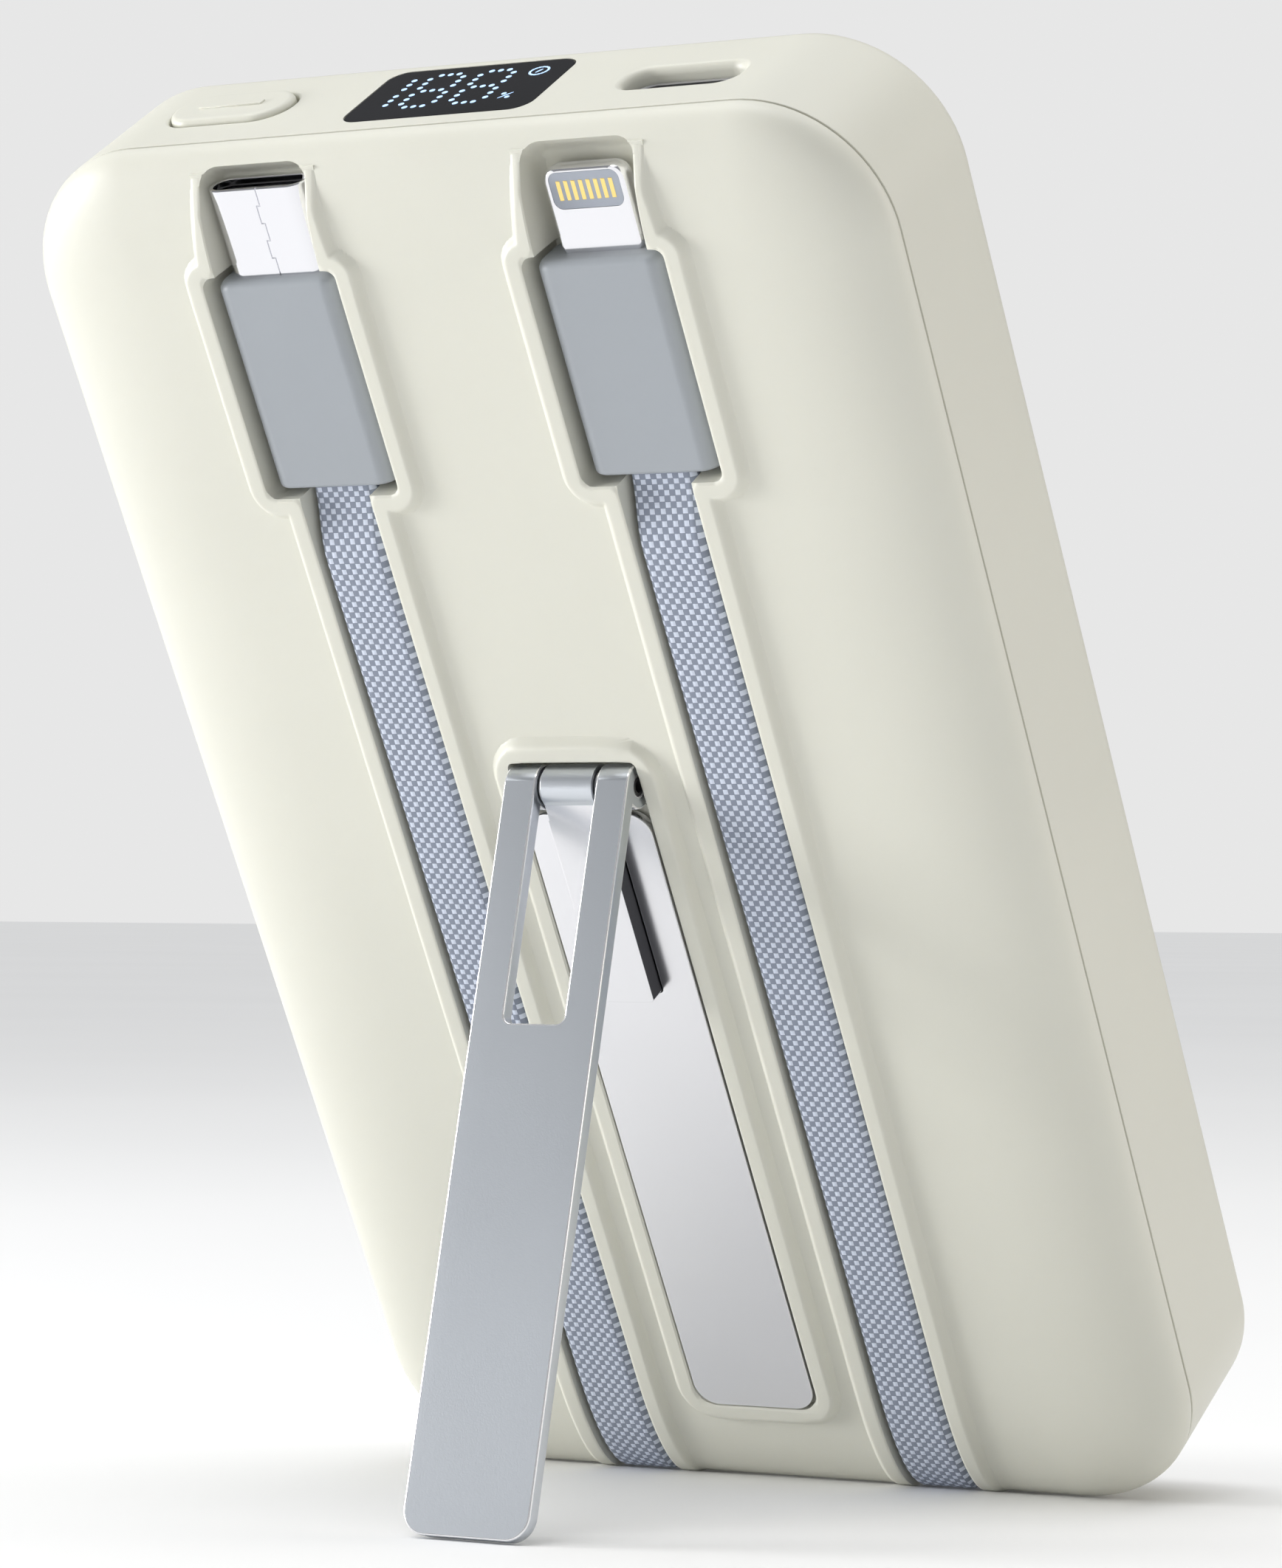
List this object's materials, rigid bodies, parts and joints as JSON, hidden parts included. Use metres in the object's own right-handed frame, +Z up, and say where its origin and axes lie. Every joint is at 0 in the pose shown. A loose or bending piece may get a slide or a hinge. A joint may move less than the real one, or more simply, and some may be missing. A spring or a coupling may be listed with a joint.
{
  "type": "power bank",
  "caption": "Slim power bank leaning on its fold-out kickstand, with built-in flat woven cables, charging pad, button and display.",
  "frame": {"origin": "centre of the bounding box on the surface that the power bank stands on", "axes": "+X to the right seen from the cable side, +Y from the cable side towards the charging side, +Z up; the case leans back about X onto its open kickstand"},
  "size_m": [0.071, 0.072, 0.1067],
  "materials": {
    "cream_plastic": "satin moulded cream plastic, fine texture",
    "cream_silicone": "matte soft-touch cream pad",
    "satin_metal": "fine blasted, polished chamfers",
    "bright_metal": "mirror polished",
    "plain_steel": "plain",
    "black_gloss": "black gloss window",
    "grey_weave": "two-tone flat weave",
    "grey_grip": "matte grey",
    "black_plastic": "matte black",
    "panel_plastic": "grey contact panel with gold contacts",
    "copper_wire": "wound copper wire",
    "ferrite": "dark ferrite sheet",
    "magnet": "nickel-plated magnet",
    "cell_pouch": "foil pouch",
    "white_plastic": "plain white",
    "board_green": "green board"
  },
  "bodies": {
    "housing": {"back_cover": "cream_plastic", "bar_magnet": "magnet", "button_switch": "black_plastic", "cell_frame": "white_plastic", "charging_coil": "copper_wire", "charging_pad": "cream_silicone", "display_module": "black_plastic", "display_window": "black_gloss", "ferrite_sheet": "ferrite", "front_cell": "cell_pouch", "front_shell": "cream_plastic", "hinge_bracket": "bright_metal", "hinge_pin": "plain_steel", "kickstand_plate": "bright_metal", "left_board_screw": "plain_steel", "left_gland": "black_plastic", "left_ribbon_root": "grey_weave", "left_washer": "plain_steel", "lower_hinge_screw": "plain_steel", "magnet_ring": "magnet", "main_board": "board_green", "port_shell": "plain_steel", "port_tongue": "black_plastic", "rear_cell": "cell_pouch", "right_board_screw": "plain_steel", "right_gland": "black_plastic", "right_ribbon_root": "grey_weave", "right_washer": "plain_steel", "thermistor": "black_plastic", "upper_hinge_screw": "plain_steel"},
    "kickstand": {"kickstand_leg": "satin_metal"},
    "power_button": {"power_button": "cream_plastic"},
    "oval_cable": {"left_ribbon": "grey_weave", "left_overmould": "grey_grip", "oval_plug_shell": "bright_metal", "oval_plug_liner": "black_plastic"},
    "blade_cable": {"right_ribbon": "grey_weave", "right_overmould": "grey_grip", "blade_plug": "bright_metal", "contact_panel": "panel_plastic"}
  },
  "joints": [
    {"name": "kickstand_hinge", "type": "hinge", "parent": "housing", "child": "kickstand", "pos_m": [0, -0.0119, 0.05432], "axis": [-1, 0, 0], "range_deg": [-45, 45]},
    {"name": "button_press", "type": "slide", "parent": "housing", "child": "power_button", "axis": [0, 0.5145, -0.8575], "range_m": [0, 0.0004], "stiffness_N_per_m": 800},
    {"name": "oval_cable_swing", "type": "hinge", "parent": "housing", "child": "oval_cable", "pos_m": [-0.0135, 0.01571, 0.00978], "axis": [1, 0, 0], "range_deg": [0, 55]},
    {"name": "blade_cable_swing", "type": "hinge", "parent": "housing", "child": "blade_cable", "pos_m": [0.0135, 0.01571, 0.00978], "axis": [1, 0, 0], "range_deg": [0, 55]}
  ]
}
